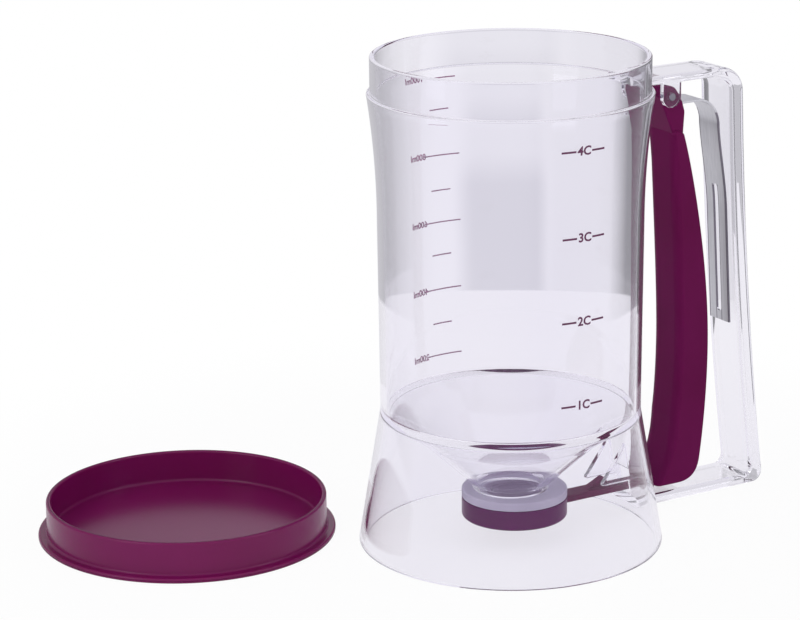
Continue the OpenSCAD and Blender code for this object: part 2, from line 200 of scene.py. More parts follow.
def plate(name, outline, width, edge, steps=5, middle=0.0, draw=None):
    """Side view (x, z) given a width along y. Across the width the angle f goes from -90 to 90 degrees:
    y is the flat half width plus edge times sin f, and the outline moves inwards along its own normal by
    draw times (1 - cos f). That is a quarter round at each face where draw is the edge itself, and a
    quarter ellipse where draw gives a point a length of its own. The two faces close the plate."""
    draw = np.full(len(outline), edge) if draw is None else draw
    tangent = np.roll(outline, -1, 0) - np.roll(outline, 1, 0)
    tangent /= np.linalg.norm(tangent, axis=1)[:, None]
    area = (outline[:, 0] * np.roll(outline[:, 1], -1) - np.roll(outline[:, 0], -1) * outline[:, 1]).sum()
    normal = np.c_[tangent[:, 1], -tangent[:, 0]] * np.sign(area)
    f = np.linspace(-np.pi / 2, 0, steps + 1)
    y = np.r_[-(width / 2 - edge) + edge * np.sin(f), (width / 2 - edge) + edge * np.sin(f + np.pi / 2)]
    inset = (1 - np.cos(np.r_[f, f + np.pi / 2]))[:, None] * draw[None]
    xz = outline[None] - inset[..., None] * normal[None]
    xyz = np.stack([xz[..., 0], np.broadcast_to(y[:, None], xz.shape[:2]) + middle, xz[..., 1]], -1)
    n = len(outline)
    faces = grid_quads(len(y), n, False) + [list(range(n)), list(range(len(y) * n - n, len(y) * n))]
    return solid(name, xyz.reshape(-1, 3), faces)


def combine(thing, tool, operation):
    """UNION joins two closed solids, DIFFERENCE cuts the second out of the first. The tool is used up."""
    step = thing.modifiers.new("combine", "BOOLEAN")
    step.operation, step.object, step.solver = operation, tool, "EXACT"
    bpy.context.view_layer.update()
    made = bpy.data.meshes.new_from_object(thing.evaluated_get(bpy.context.evaluated_depsgraph_get()))
    thing.modifiers.remove(step)
    thing.data = made
    bpy.data.objects.remove(tool)
    return thing


SHARP_ANGLE = math.radians(32)


def finish_piece(thing, body, node, material):
    """Smooth shading with true corners kept, flat faces kept flat, then the piece's body, node and finish.
    A piece that bends between two bodies has no body here, and a printed scale stands for no node."""
    thing.data.shade_smooth()
    thing.data.set_sharp_from_angle(angle=SHARP_ANGLE)
    flat = thing.modifiers.new("flat_faces", "WEIGHTED_NORMAL")
    flat.mode, flat.weight, flat.keep_sharp = "FACE_AREA", 50, True
    thing.data.materials.clear()
    thing.data.materials.append(material)
    if body:
        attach(thing, body)
    if node:
        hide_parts(node)
    print(thing.name, len(thing.data.polygons), "faces")


print("a grid of 3 by 4 points, closed one way, has", len(grid_quads(3, 4, False)), "faces")

# %% [markdown]
# ## Finishes
# The hopper is clear styrene with a breath of lavender. Light is tinted a little at every wall, bends at
# each surface, and draws dark lines where the wall turns away, so the shader does most of the drawing.
# Moulded walls are never perfectly even: a slow bump, far wider than it is deep, makes them swim a little.
# A finish is a small net of nodes, and five helpers write the parts that come up again and again.

# %% Node helpers
def new_material(name):
    """A material with one Principled shader, and its nodes and links to add to."""
    material = bpy.data.materials.new(name)
    material.use_nodes = True
    tree = material.node_tree
    return material, tree.nodes, tree.links, tree.nodes["Principled BSDF"]


def noise_on_object(nodes, links, scale, detail=2.0, stretch=(1, 1, 1)):
    """Noise over the object's own coordinates, stretched along its axes by a Mapping node."""
    where, mapping = nodes.new("ShaderNodeTexCoord"), nodes.new("ShaderNodeMapping")
    mapping.inputs["Scale"].default_value = stretch
    noise = nodes.new("ShaderNodeTexNoise")
    noise.inputs["Scale"].default_value, noise.inputs["Detail"].default_value = scale, detail
    links.new(where.outputs["Object"], mapping.inputs["Vector"])
    links.new(mapping.outputs["Vector"], noise.inputs["Vector"])
    return noise


def ramp(nodes, links, value, stops):
    """Colour ramp over a value, from rows (place, colour)."""
    node = nodes.new("ShaderNodeValToRGB")
    for element, (place, colour) in zip(node.color_ramp.elements, stops):
        element.position, element.color = place, (*colour, 1)
    for place, colour in stops[2:]:
        node.color_ramp.elements.new(place).color = (*colour, 1)
    links.new(value, node.inputs["Fac"])
    return node.outputs["Color"]


def bump(nodes, links, shader, height, strength, distance):
    """Bump from a height on the shader's normal."""
    node = nodes.new("ShaderNodeBump")
    node.inputs["Strength"].default_value, node.inputs["Distance"].default_value = strength, distance
    links.new(height, node.inputs["Height"])
    links.new(node.outputs["Normal"], shader.inputs["Normal"])


def maths(nodes, links, operation, first, second):
    """One Math node on two values, each a socket or a number."""
    node = nodes.new("ShaderNodeMath")
    node.operation = operation
    for socket, value in zip(node.inputs, (first, second)):
        if isinstance(value, (int, float)):
            socket.default_value = value
        else:
            links.new(value, socket)
    return node.outputs[0]


print("node helpers ready")

# %% [markdown]
# A shadow ray goes straight through the clear wall and only takes its tint, so the table stays light. A
# ray that was mirrored three times inside the wall also goes straight on: the renderer would soon give it
# up, and such rays would end black. The specular tint keeps the mirror image on the walls weak, so that
# the pieces behind them show.

# %% Clear plastic
clear, nodes, links, shader = new_material("clear_plastic")
shader.inputs["Transmission Weight"].default_value = 1.0
shader.inputs["IOR"].default_value = 1.57
shader.inputs["Specular Tint"].default_value = (0.45, 0.45, 0.50, 1)
shader.inputs["Roughness"].default_value = 0.02
swim = noise_on_object(nodes, links, 22, 1.5, (1, 1, 0.45))
breath = [(0.3, (0.960, 0.951, 0.988)), (0.7, (0.976, 0.969, 0.995))]
links.new(ramp(nodes, links, swim.outputs["Fac"], breath), shader.inputs["Base Color"])
bump(nodes, links, shader, swim.outputs["Fac"], 0.25, 0.0004)
path = nodes.new("ShaderNodeLightPath")
straight = nodes.new("ShaderNodeBsdfTransparent")
pick = nodes.new("ShaderNodeMixShader")
straight.inputs["Color"].default_value = (0.962, 0.953, 0.988, 1)
MOST_MIRRORS = 2.5
trapped = maths(nodes, links, "GREATER_THAN", path.outputs["Glossy Depth"], MOST_MIRRORS)
links.new(maths(nodes, links, "MAXIMUM", path.outputs["Is Shadow Ray"], trapped), pick.inputs["Fac"])
links.new(shader.outputs[0], pick.inputs[1])
links.new(straight.outputs[0], pick.inputs[2])
links.new(pick.outputs[0], nodes["Material Output"].inputs["Surface"])
print("clear plastic ready")

# %% [markdown]
# The lever, the valve cup and the lid are a deep plum plastic with the faint orange peel of a moulding.
# The lever is satin, and the cup is darker and bluer. The lid is redder and has more gloss, and it is thin
# enough to let a little light through its skirt.

# %% Plum plastic
def plum(name, dark, light, rough, gloss, subsurface=0.0):
    """Deep coloured plastic: a slow drift between two close plums, and a fine peel in the bump."""
    material, nodes, links, shader = new_material(name)
    drift = noise_on_object(nodes, links, 14, 3)
    colour = ramp(nodes, links, drift.outputs["Fac"], [(0.35, dark), (0.65, light)])
    links.new(colour, shader.inputs["Base Color"])
    shader.inputs["Roughness"].default_value = rough
    shader.inputs["IOR"].default_value = 1.46
    shader.inputs["Specular IOR Level"].default_value = gloss
    if subsurface:
        shader.inputs["Subsurface Weight"].default_value = subsurface
        shader.inputs["Subsurface Radius"].default_value = (1.0, 0.12, 0.5)
        shader.inputs["Subsurface Scale"].default_value = 0.003
    peel = noise_on_object(nodes, links, 900, 2)
    bump(nodes, links, shader, peel.outputs["Fac"], 0.12, 0.0002)
    return material


lever_plum = plum("lever_plum", (0.112, 0.0045, 0.052), (0.132, 0.0060, 0.066), 0.42, 0.05)
cup_plum = plum("cup_plum", (0.080, 0.001, 0.062), (0.098, 0.0015, 0.076), 0.3, 0.10)
lid_plum = plum("lid_plum", (0.155, 0.0035, 0.070), (0.178, 0.0045, 0.085), 0.24, 0.28, 0.3)
print("plums ready")

# %% [markdown]
# The seal is frosted silicone: soft, milky and dull. Its middle, where it faces the outlet, is painted darker
# as shade. Its distance from the valve's own axis decides between the painted shade and the milky tone.

# %% Silicone
VALVE_X = 1.8
DARK_TO, MILKY_FROM = 0.0112, 0.0128
silicone, nodes, links, shader = new_material("frosted_silicone")
cloud = noise_on_object(nodes, links, 60, 3)
where = nodes.new("ShaderNodeTexCoord")
middle = nodes.new("ShaderNodeVectorMath")
middle.operation = "MULTIPLY_ADD"
middle.inputs[1].default_value = (1, 1, 0)
middle.inputs[2].default_value = (-VALVE_X * MM, 0, 0)
reach = nodes.new("ShaderNodeVectorMath")
reach.operation = "LENGTH"
links.new(where.outputs["Object"], middle.inputs[0])
links.new(middle.outputs[0], reach.inputs[0])
# Painted shade: the seal is coloured dark within DARK_TO of the valve's axis, under the outlet, and turns
# milky further out.
shade_to_milk = nodes.new("ShaderNodeMapRange")
shade_to_milk.interpolation_type = "SMOOTHSTEP"
shade_to_milk.inputs["From Min"].default_value = DARK_TO
shade_to_milk.inputs["From Max"].default_value = MILKY_FROM
links.new(reach.outputs["Value"], shade_to_milk.inputs["Value"])
milk = ramp(nodes, links, cloud.outputs["Fac"], [(0.3, (0.39, 0.35, 0.45)), (0.7, (0.47, 0.43, 0.53))])
blend = nodes.new("ShaderNodeMix")
blend.data_type = "RGBA"
# This dark plum is the painted shade's colour.
blend.inputs["A"].default_value = (0.125, 0.070, 0.145, 1)
links.new(shade_to_milk.outputs[0], blend.inputs["Factor"])
links.new(milk, blend.inputs["B"])
links.new(blend.outputs["Result"], shader.inputs["Base Color"])
shader.inputs["Roughness"].default_value = 0.55
shader.inputs["Subsurface Weight"].default_value = 0.3
shader.inputs["Subsurface Radius"].default_value = (1.0, 0.9, 1.0)
shader.inputs["Subsurface Scale"].default_value = 0.002
bump(nodes, links, shader, noise_on_object(nodes, links, 1500, 2).outputs["Fac"], 0.2, 0.0001)
print("silicone darkens within", DARK_TO, "m of the valve's axis")

# %% [markdown]
# The spring and the pin are stainless steel. The strip was rolled and brushed along its length, so its grain
# and its stretched highlights run that way. Beside the strip's long edges and its slot's edges, painted shade
# darkens the metal.

# %% Steel
def steel(name, grain, rough, dark_bands):
    """Brushed metal: streaks are noise stretched along the grain, in the colour, the roughness and the bump.
    Each row of dark_bands is a band (near, far, top), in millimetres from the piece's middle and up to a
    height, that is painted darker. On the strip the bands are painted shade along its long edges and beside
    its slot's edges; the pin's one band covers the whole pin and darkens it all over."""
    material, nodes, links, shader = new_material(name)
    streaks = noise_on_object(nodes, links, 1.0, 4, grain)
    bright = [(0.3, (0.53, 0.53, 0.56)), (0.7, (0.68, 0.68, 0.71))]
    colour = ramp(nodes, links, streaks.outputs["Fac"], bright)
    where, parts = nodes.new("ShaderNodeTexCoord"), nodes.new("ShaderNodeSeparateXYZ")
    links.new(where.outputs["Object"], parts.inputs[0])
    side = maths(nodes, links, "ABSOLUTE", parts.outputs["Y"], 0.0)
    for near, far, top in dark_bands:
        past_near = maths(nodes, links, "GREATER_THAN", side, near * MM)
        short_of_far = maths(nodes, links, "LESS_THAN", side, far * MM)
        between = maths(nodes, links, "MULTIPLY", past_near, short_of_far)
        below = maths(nodes, links, "LESS_THAN", parts.outputs["Z"], top * MM)
        band = maths(nodes, links, "MULTIPLY", between, below)
        # Painted shade: inside a band the colour is mixed towards a dark grey.
        darker = nodes.new("ShaderNodeMix")
        darker.data_type = "RGBA"
        darker.inputs["B"].default_value = (0.13, 0.11, 0.15, 1)
        links.new(maths(nodes, links, "MULTIPLY", band, 0.8), darker.inputs["Factor"])
        links.new(colour, darker.inputs["A"])
        colour = darker.outputs["Result"]
    links.new(colour, shader.inputs["Base Color"])
    shader.inputs["Metallic"].default_value = 1.0
    spread = [(0.2, (rough - 0.06,) * 3), (0.8, (rough + 0.08,) * 3)]
    links.new(ramp(nodes, links, streaks.outputs["Fac"], spread), shader.inputs["Roughness"])
    bump(nodes, links, shader, streaks.outputs["Fac"], 0.15, 0.0001)
    return material


# The strip's bands are painted shade along its long edges and beside its slot; the pin's one band darkens the
# whole pin.
spring_steel = steel("brushed_strip", (900, 2600, 30), 0.34, [(5.6, 6.3, 158.0), (1.4, 1.85, 127.8)])
pin_steel = steel("turned_pin", (2200, 60, 2200), 0.4, [(0.0, 12.0, 200.0)])
print("steel ready")

# %% [markdown]
# ## Container
# One moulding: neck, barrel, funnel floor, outlet nozzle and skirt are a single turned wall. The wall's
# outline goes once round its own cross-section, up the outside and down the inside, so that the turned
# surface closes. Inside and outside keep one wall's thickness between them, as a mould does. The funnel
# floor is a cone that runs a little flatter outside its bend than inside it.

# %% Container wall
HEIGHT, SHOULDER = 190.0, 176.1
STAND_R, WAIST_R, WAIST_Z, BARREL_R, FLARE_Z = 58.7, 49.8, 50.0, 50.3, 128.0
CREASE_Z, EDGE_Z, BEND_R = 53.2, 54.0, 33.0
CREASE_ROUND, BEND_ROUND = 14.0, 30.0
SHOULDER_R, NECK_R, NECK_WALL, WALL = 53.9, 52.5, 2.0, 2.4
OUTLET_R, OUTLET_RISE, NOZZLE_R, NOZZLE_Z, NOZZLE_TOP = 12.0, 0.4, 14.8, 20.7, 22.9


def skirt_r(z):
    """Radius at height z by which the ribs, the fin and the lever's foot are placed: the stand's radius
    less a straight lean up to the waist. The wall's own crease lies a little higher, at CREASE_Z."""
    return STAND_R - (STAND_R - WAIST_R) / WAIST_Z * z


def flare(r0, r1):
    """Side of the barrel above FLARE_Z: the radius grows with the square of the height."""
    t = np.linspace(0, 1, 26)
    return np.c_[r0 + (r1 - r0) * t ** 2, FLARE_Z + (SHOULDER - FLARE_Z) * t]


slope = 0.75
edge_r, inner_r = WAIST_R - WALL, BARREL_R - WALL
bend_z = EDGE_Z - slope * (edge_r - BEND_R)
steep = (bend_z - NOZZLE_TOP - OUTLET_RISE) / (BEND_R - OUTLET_R)
drop = WALL * math.sqrt(1 + slope ** 2)
foot_r = OUTLET_R + (WALL * math.sqrt(1 + steep ** 2) - OUTLET_RISE) / steep
low_bend = BEND_R + 0.66 * WALL
lean = (STAND_R - WAIST_R) / CREASE_Z
join_z = (EDGE_Z - drop + slope * (STAND_R - WAIST_R)) / (1 + slope * lean)
wall_outline = rounded(np.r_[
    [(STAND_R - WALL, 0, 0.5), (STAND_R, 0, 0.7), (WAIST_R, CREASE_Z, CREASE_ROUND)],
    plain(flare(BARREL_R, SHOULDER_R)[:-1]),
    [(SHOULDER_R, SHOULDER, 0.7), (NECK_R, SHOULDER, 0.4)],
    [(NECK_R, HEIGHT, 0.7), (NECK_R - NECK_WALL, HEIGHT, 0.7)],
    plain(flare(inner_r, NECK_R - NECK_WALL)[::-1][1:]),
    [(edge_r, EDGE_Z, 1.2), (BEND_R, bend_z, BEND_ROUND)],
    [(OUTLET_R, NOZZLE_TOP + OUTLET_RISE, 1.0), (OUTLET_R, NOZZLE_Z, 0.4)],
    [(NOZZLE_R, NOZZLE_Z, 0.6), (NOZZLE_R, NOZZLE_TOP, 0), (foot_r, NOZZLE_TOP, 0)],
    [(low_bend, EDGE_Z - drop - slope * (edge_r - low_bend), BEND_ROUND)],
    [(STAND_R - WALL - lean * join_z, join_z, 0.5)],
])
container = turned("hopper_shell", wall_outline, 224)
print("wall outline", len(wall_outline), "points, underside meets the skirt at", round(join_z, 1), "mm")

# %% [markdown]
# ## Handle
# The D handle is a band of clear plastic: thin over the top, thick down the back where the palm rests,
# thin again below. Its back leans out towards the table and bows in a little, so its curve is a straight
# rake less a parabola. The band's two ends stop inside the container's wall, where the two flow together.
# The top bar is thin, so the round of the band's edges draws its outline in by much less than half of it.

# %% Handle band
HANDLE_W, HANDLE_T, HANDLE_X, RAKE, BOW = 21.0, 6.2, 101.5, 13.4, 1.8
HIGH_Z, LOW_Z, LIFT = SHOULDER - 16.0, 8.0, 4.0
LOW_END_X, TOP_END_X, TOP_BAR = 55.9, 51.5, 3.4


def handle_face(z):
    """X of the handle's back: rake times the share of the way down, less a parabola for the bow."""
    u = (HIGH_Z - np.asarray(z, float)) / (HIGH_Z - LOW_Z)
    return HANDLE_X + RAKE * u - 4 * BOW * u * (1 - u)


def handle_side(inset, low, high, low_round, high_round):
    """One side of the band from its foot to its top: handle_face moved in by inset, between two round
    corners whose arcs it leaves free."""
    z = np.linspace(low + low_round * 1.02, high - high_round * 1.02, 40)
    back = plain(np.c_[handle_face(z) - inset, z])
    return np.r_[[(handle_face(low) - inset, low, low_round)], back,
                 [(handle_face(HIGH_Z) - inset, high, high_round)]]


band = rounded(np.r_[
    [(LOW_END_X, LIFT, 0)], handle_side(0, LIFT, SHOULDER, 5.5, 10.5), [(TOP_END_X, SHOULDER - 0.05, 0)],
    [(TOP_END_X, SHOULDER - TOP_BAR, 0)],
    handle_side(HANDLE_T, LOW_Z, SHOULDER - TOP_BAR, 4.0, 7.0)[::-1],
    [(LOW_END_X, LOW_Z, 0)],
], steps=10)
handle = plate("handle_band", band, HANDLE_W, 2.6, 8, draw=np.full(len(band), 1.5))
print("handle reaches out to", round(float(handle_face(LOW_Z)), 1), "mm")

# %% [markdown]
# Two small ears under the top bar carry the pin, and two ribs inside the skirt guide the valve's arm.
# They are plates too, joined to the wall. The ears stand a hair inside the bar's two sides, because a
# join is surest where no two faces lie on each other. The slot and the pin's holes are cut last.

# %% Ears, ribs, slot and holes
PIN_X, PIN_Z, EAR_R, EAR_T, EAR_TOP, HOLE_R = 66.7, 167.7, 4.2, 2.2, 175.8, 1.52
ARM_W, ARM_Z, ARM_TOP, FIN_H, SLOT_SIDE = 8.0, 10.4, 13.0, 4.0, 0.5
RIB_H, RIB_T, RIB_REACH, RIB_ROOT = 15.5, 2.0, 15.1, 1.4
SLOT_IN, SLOT_OUT, SLOT_LOW = 44.8, 64.8, 8.1

a = np.linspace(math.pi, 2 * math.pi, 25)
ear_side = np.r_[np.c_[PIN_X + EAR_R * np.cos(a), PIN_Z + EAR_R * np.sin(a)],
                 [(PIN_X + EAR_R, EAR_TOP), (PIN_X - EAR_R, EAR_TOP)]]
rib_low = ARM_TOP + 2.0
rib_top = rib_low + RIB_H
rib_side = rounded([
    (skirt_r(rib_low) - RIB_ROOT, rib_low, 0), (skirt_r(rib_top) - RIB_ROOT, rib_top, 0),
    (skirt_r(rib_top) - WALL, rib_top, 0), (skirt_r(rib_low) - WALL - RIB_REACH, rib_low, 0.6)])
container = combine(container, handle, "UNION")
for side in (-1, 1):
    ear = plate("ear", ear_side, EAR_T, 0.25, 3, side * (HANDLE_W - EAR_T) / 2 * 0.998)
    container = combine(container, ear, "UNION")
    rib = plate("rib", rib_side, RIB_T, 0.25, 3, side * (ARM_W / 2 + SLOT_SIDE + 1.03))
    container = combine(container, rib, "UNION")
slot_top = ARM_TOP + FIN_H + 2.6
slot_box = rounded([(SLOT_IN, SLOT_LOW, 0), (SLOT_OUT, SLOT_LOW, 0),
                    (SLOT_OUT, slot_top, 0), (SLOT_IN, slot_top, 0)])
container = combine(container, plate("slot", slot_box, ARM_W + 2 * SLOT_SIDE, 0.4, 3), "DIFFERENCE")
hole_profile = np.array([(0, -14), (HOLE_R, -14), (HOLE_R, 14), (0, 14)], float)
container = combine(container, lathe("hole", hole_profile, 48, (PIN_X, PIN_Z), "y"), "DIFFERENCE")
finish_piece(container, "container", "container", clear)

# %% [markdown]
# ## Lever
# The lever is a curved grip, 18 mm wide, with a narrower head that turns between the ears and a foot that
# faces the skirt. Its side view is three smooth curves, and the plate helper rounds its long edges, which
# give the grip its soft highlight. Its back is open, as levers are moulded, to keep the wall even.

# %% Lever grip
FACE_X, BACK_X, TOP_X, GRIP_W = 73.2, 87.8, 69.0, 18.0
TOP_Z, BELLY_Z, FOOT_Z, FOOT_H, FALL, LEVER_WALL = PIN_Z - EAR_R - 8.1, 68.0, 9.9, 28.0, 2.8, 2.2
HEEL_X, HEEL_RUN, TOE_X = BACK_X - 3.4, 10.5, skirt_r(FOOT_Z) + 6.0
back_x, sweep_x = TOP_X + 5.4, FACE_X - 1.6


def finger_face(inset=0.0):
    """Front of the grip from the foot up to the shoulder, moved back by inset: two cubic curves, one up
    to the belly and one from there to the shoulder."""
    return np.r_[
        bezier((sweep_x, FOOT_Z + FOOT_H), (FACE_X - 0.5, FOOT_Z + FOOT_H + 8),
               (FACE_X + 0.2, BELLY_Z - 8), (FACE_X, BELLY_Z + 5), 14),
        bezier((FACE_X, BELLY_Z + 5), (FACE_X - 0.5, BELLY_Z + 30),
               (TOP_X + 1.2, TOP_Z - 26), (TOP_X, TOP_Z), 24),
    ] + [inset, 0]


def grip_back():
    """Back of the grip from the shoulder down to the heel: three cubic curves, each starting where the
    one before it ends."""
    x, z = back_x, TOP_Z - FALL
    return np.r_[
        bezier((x, z), (x + 4.2, z - 13), (BACK_X - 0.2, BELLY_Z + 32), (BACK_X, BELLY_Z - 2), 26)[1:],
        bezier((BACK_X, BELLY_Z - 2), (BACK_X + 0.1, BELLY_Z - 20),
               (HEEL_X + 1.8, FOOT_Z + 20), (HEEL_X, FOOT_Z + 8.5), 16),
        bezier((HEEL_X, FOOT_Z + 8.5), (HEEL_X - 1, FOOT_Z + 3.4),
               (HEEL_X - 4, FOOT_Z), (HEEL_X - HEEL_RUN, FOOT_Z), 14),
    ]


def toe(inset=0.0):
    """Front of the foot: one cubic curve that leaves the bottom near the skirt and sweeps up into the
    finger face."""
    return bezier((TOE_X + 2.3 * inset, FOOT_Z + inset),
                  ((TOE_X + FACE_X) / 2 + 1.2 * inset, FOOT_Z + 4.6 + 1.4 * inset),
                  (FACE_X - 2.2 + inset, FOOT_Z + FOOT_H - 13), (sweep_x + inset, FOOT_Z + FOOT_H), 20)


grip_side = rounded(np.r_[
    [(TOE_X, FOOT_Z, 1.0)], plain(toe()[2:]), plain(finger_face()[:-1]),
    [(TOP_X, TOP_Z, 1.6), (back_x, TOP_Z - FALL, 1.6)],
    plain(grip_back()), plain([(HEEL_X - HEEL_RUN, FOOT_Z)]),
])
grip_ring = even(grip_side, 0.8)
along_face = np.interp(grip_ring[:, 1], [FOOT_Z + 6, FOOT_Z + 20, TOP_Z - 16, TOP_Z - 4], [0, 1, 1, 0])
front = grip_ring[:, 0] < FACE_X + 1.5
lever = plate("squeeze_lever", grip_ring, GRIP_W, 4.2, 12, draw=1.1 + 1.3 * along_face * front)
print("grip outline", len(grip_ring), "points")

# %% [markdown]
# The head turns between the ears. The arm runs from the foot through the slot to the valve, and the fin
# on top of it keeps it stiff. The hollow is the grip's own side view, drawn one wall further in and cut
# out from behind. Last come the pin's bore and the pocket that holds the root of the leaf spring.

# %% Lever head, arm and hollow
HEAD_R, HEAD_W, BORE_R = 3.9, 16.0, 1.56
a = np.radians(np.linspace(180, 40, 30))
head_side = rounded(np.r_[
    plain(np.c_[PIN_X + HEAD_R * np.cos(a), PIN_Z + HEAD_R * np.sin(a)]),
    [(back_x - 0.9, PIN_Z - 2.8, 2.0), (back_x + 0.4, PIN_Z - 7, 2.0),
     (back_x - 0.3, TOP_Z - FALL - 2, 0), (TOP_X + 0.3, TOP_Z - 3, 0)],
])
lever = combine(lever, plate("head", even(head_side, 0.5), HEAD_W, 0.8, 4), "UNION")

tongue_x, root_x = VALVE_X - 8.0, TOE_X + 1.6 * LEVER_WALL + 0.7 * (ARM_Z - FOOT_Z)
arm_side = rounded([(tongue_x, ARM_Z, 0.3), (root_x, ARM_Z, 0),
                    (root_x, ARM_TOP, 0), (tongue_x, ARM_TOP, 0.3)])
lever = combine(lever, plate("arm", arm_side, ARM_W, 0.4, 3), "UNION")
fin_x = skirt_r(ARM_TOP) - WALL - 10.5
fin_tip, fin_heel = fin_x - 2.25 * FIN_H, fin_x + FIN_H / 2
fin_side = rounded([(fin_tip, ARM_Z + 1.3, 0), (fin_tip, ARM_TOP, 0), (fin_x, ARM_TOP + FIN_H, 0.6),
                    (fin_heel, ARM_TOP, 0), (fin_heel, ARM_Z + 1.3, 0)])
lever = combine(lever, plate("fin", fin_side, 3.0, 0.3, 3), "UNION")

roof = TOP_Z - FALL - 4
inner_face = finger_face(LEVER_WALL)
inner_face = inner_face[inner_face[:, 1] < roof]
hollow_side = rounded(np.r_[
    [(BACK_X + 5, FOOT_Z + LEVER_WALL, 0), (TOE_X + 2.3 * LEVER_WALL, FOOT_Z + LEVER_WALL, 1.2)],
    plain(toe(LEVER_WALL)[4:]), plain(inner_face),
    [(TOP_X + LEVER_WALL, roof, 1), (BACK_X + 5, roof, 0)],
])
lever = combine(lever, plate("hollow", hollow_side, GRIP_W - 2 * LEVER_WALL, 0.3, 3), "DIFFERENCE")
bore_profile = np.array([(0, -12), (BORE_R, -12), (BORE_R, 12), (0, 12)], float)
lever = combine(lever, lathe("bore", bore_profile, 48, (PIN_X, PIN_Z), "y"), "DIFFERENCE")
strip_x, strip_z = back_x - 0.9 - 4, PIN_Z - 3.6
pocket = [(strip_x - 0.1, strip_z - 0.9), (strip_x + 20, strip_z - 0.9),
          (strip_x + 20, strip_z + 0.1), (strip_x - 0.1, strip_z + 0.1)]
lever = combine(lever, plate("pocket", np.array(pocket), 12.6, 0.02, 1), "DIFFERENCE")
finish_piece(lever, "trigger", "trigger_lever", lever_plum)

# %% [markdown]
# ## Valve
# Under the outlet sits a shallow plum cup with a silicone seal. Pulling the lever slides both out from
# under the hole. They are small but seen through the skirt, and their round rims are what shows there.

# %% Valve cup and seal
CUP_R, CUP_Z, CUP_TOP, CUP_WALL = 20.4, 9.1, 17.0, 1.8
SEAT_Z, SEAL_R, SEAL_TOP, SEAL_DISH = 14.6, 18.5, 20.4, 0.8
cup_profile = rounded(np.array([
    (0, CUP_Z, 0), (CUP_R, CUP_Z, 1.2), (CUP_R, CUP_TOP, 0.6), (CUP_R - CUP_WALL, CUP_TOP, 0.5),
    (CUP_R - CUP_WALL, SEAT_Z, 0.3), (0, SEAT_Z, 0)]))
cup = lathe("valve_cup_body", cup_profile, 160, (VALVE_X, 0))
channel = [(tongue_x - 0.1, ARM_Z - 0.1), (CUP_R + 5, ARM_Z - 0.1),
           (CUP_R + 5, ARM_TOP + 0.1), (tongue_x - 0.1, ARM_TOP + 0.1)]
cup = combine(cup, plate("channel", np.array(channel), ARM_W + 0.2, 0.02, 1), "DIFFERENCE")
finish_piece(cup, "trigger", "valve_cup", cup_plum)
seal_profile = rounded(np.array([
    (0, SEAT_Z, 0), (SEAL_R, SEAT_Z, 0.2), (SEAL_R, CUP_TOP + 0.1, 0.2), (CUP_R, CUP_TOP + 0.1, 0.3),
    (CUP_R, SEAL_TOP, 0.7), (9.2, SEAL_TOP, 0.3),
    (8.6, SEAL_TOP - SEAL_DISH, 0.3), (0, SEAL_TOP - SEAL_DISH, 0)]))
seal = lathe("valve_seal_ring", seal_profile, 160, (VALVE_X, 0))
finish_piece(seal, "trigger", "valve_seal", silicone)

# %% [markdown]
# ## Pin and leaf spring
# The pin is a plain turned rod with broken ends. The spring is one steel strip: level where it is held in
# the lever's head, bent over, and leaning down the inside of the handle, with a long slot in its blade.
# The strip's side view is the curve of its outer face and the same curve one thickness further in.
# Its root turns with the lever while its blade stays on the handle, so the bend between them gives way.
# A cubic curve whose handles are 0.552 of the radius long is very nearly a quarter circle.

# %% Pin
PIN_R, PIN_END = 1.5, 10.9
pin_profile = rounded(np.array([
    (0, -PIN_END, 0), (PIN_R, -PIN_END, 0.35), (PIN_R, PIN_END, 0.35), (0, PIN_END, 0)]))
pin = lathe("pivot_rod", pin_profile, 64, (PIN_X, PIN_Z), "y")
finish_piece(pin, "container", "pivot_pin", pin_steel)

# %% Leaf spring
STRIP_W, STRIP_T, BEND, STRIP_SLOT_R = 12.4, 0.8, 10.0, 1.5
QUARTER = 0.552
knee_z = strip_z - BEND - 2
rest_z, end_z, off = knee_z - 34, 72.0, HANDLE_T + 0.3


def strip_side(d):
    """One face of the strip, inset by d: level root, bend, run down to the handle, straight blade."""
    knee = float(handle_face(knee_z)) - off - 2.6 - d
    rest = float(handle_face(rest_z)) - off - d
    end = float(handle_face(end_z)) - off - 1 - d
    level = np.c_[np.linspace(strip_x, knee - BEND + d, 8)[:-1], np.full(7, strip_z - d)]
    a, b = np.array((knee - BEND + d, strip_z - d)), np.array((knee, knee_z))
    corner = np.array((knee, strip_z - d))
    return np.r_[level, bezier(a, a + QUARTER * (corner - a), b + QUARTER * (corner - b), b, 24),
                 bezier(b, b + (0.9, -10), (rest - 0.7, rest_z + 12), (rest, rest_z), 24),
                 np.c_[np.linspace(rest, end, 20), np.linspace(rest_z, end_z, 20)]]


strip = plate("leaf_strip", np.r_[strip_side(0), strip_side(STRIP_T)[::-1]], STRIP_W, 0.12, 2)
t = np.linspace(0, math.pi, 17)
slot_low, slot_high = end_z + 3.5 + STRIP_SLOT_R, knee_z - 24 - STRIP_SLOT_R
oval = np.r_[np.c_[STRIP_SLOT_R * np.cos(t), slot_high + STRIP_SLOT_R * np.sin(t)],
             np.c_[-STRIP_SLOT_R * np.cos(t), slot_low - STRIP_SLOT_R * np.sin(t)]]
n = len(oval)
cutter = np.r_[np.c_[np.full(n, PIN_X), oval], np.c_[np.full(n, PIN_X + 60), oval]]
slot_tool = solid("slot_tool", cutter, grid_quads(2, n, False) + [list(range(n)), list(range(n, 2 * n))])
strip = combine(strip, slot_tool, "DIFFERENCE")
finish_piece(strip, None, "leaf_spring", spring_steel)
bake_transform(strip)

# %% [markdown]
# ## Lid
# The lid lies upside down beside the dispenser: a thin plate with a brim, and the skirt that presses over
# the neck. It is one turned profile, with generous rounds where fingers lift it.

